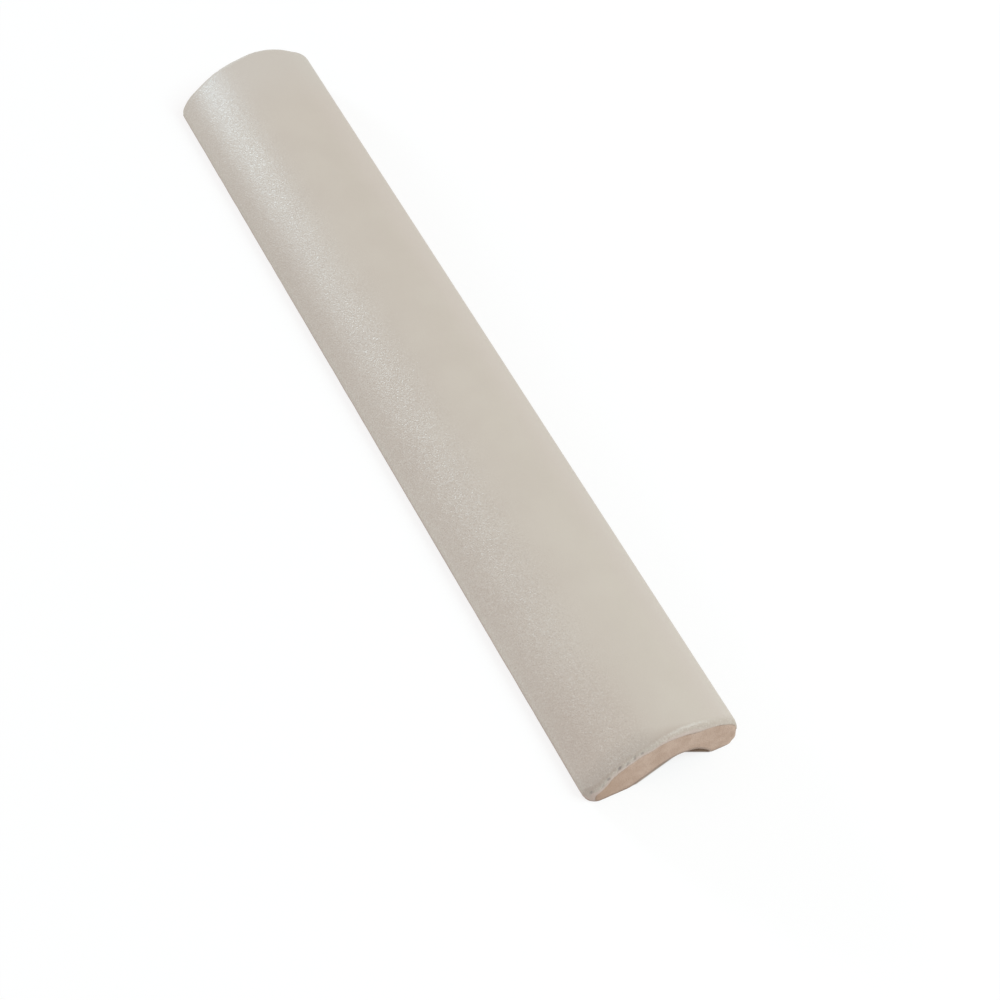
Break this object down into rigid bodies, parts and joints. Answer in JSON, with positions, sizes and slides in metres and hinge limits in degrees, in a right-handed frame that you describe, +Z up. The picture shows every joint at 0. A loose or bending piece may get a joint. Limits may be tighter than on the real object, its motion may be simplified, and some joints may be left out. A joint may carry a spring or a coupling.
{
  "type": "bullnose tile",
  "caption": "Straight bullnose trim tile of glazed clay: crowned top, low rounded nose, higher back wall, bare square ends and a hollow pressed along its bed.",
  "frame": {"origin": "middle of the bed, the plane of the two feet that the tile lies on", "axes": "+X along the bar, +Y towards the low rounded nose, +Z up out of the glazed crown"},
  "size_m": [0.2, 0.0312, 0.0124],
  "materials": {
    "glazed_clay": "satin greige glaze over pinkish tan fired clay, which shows at the ends and under the tile"
  },
  "bodies": {
    "root": {"bullnose_tile": "glazed_clay"}
  },
  "joints": []
}
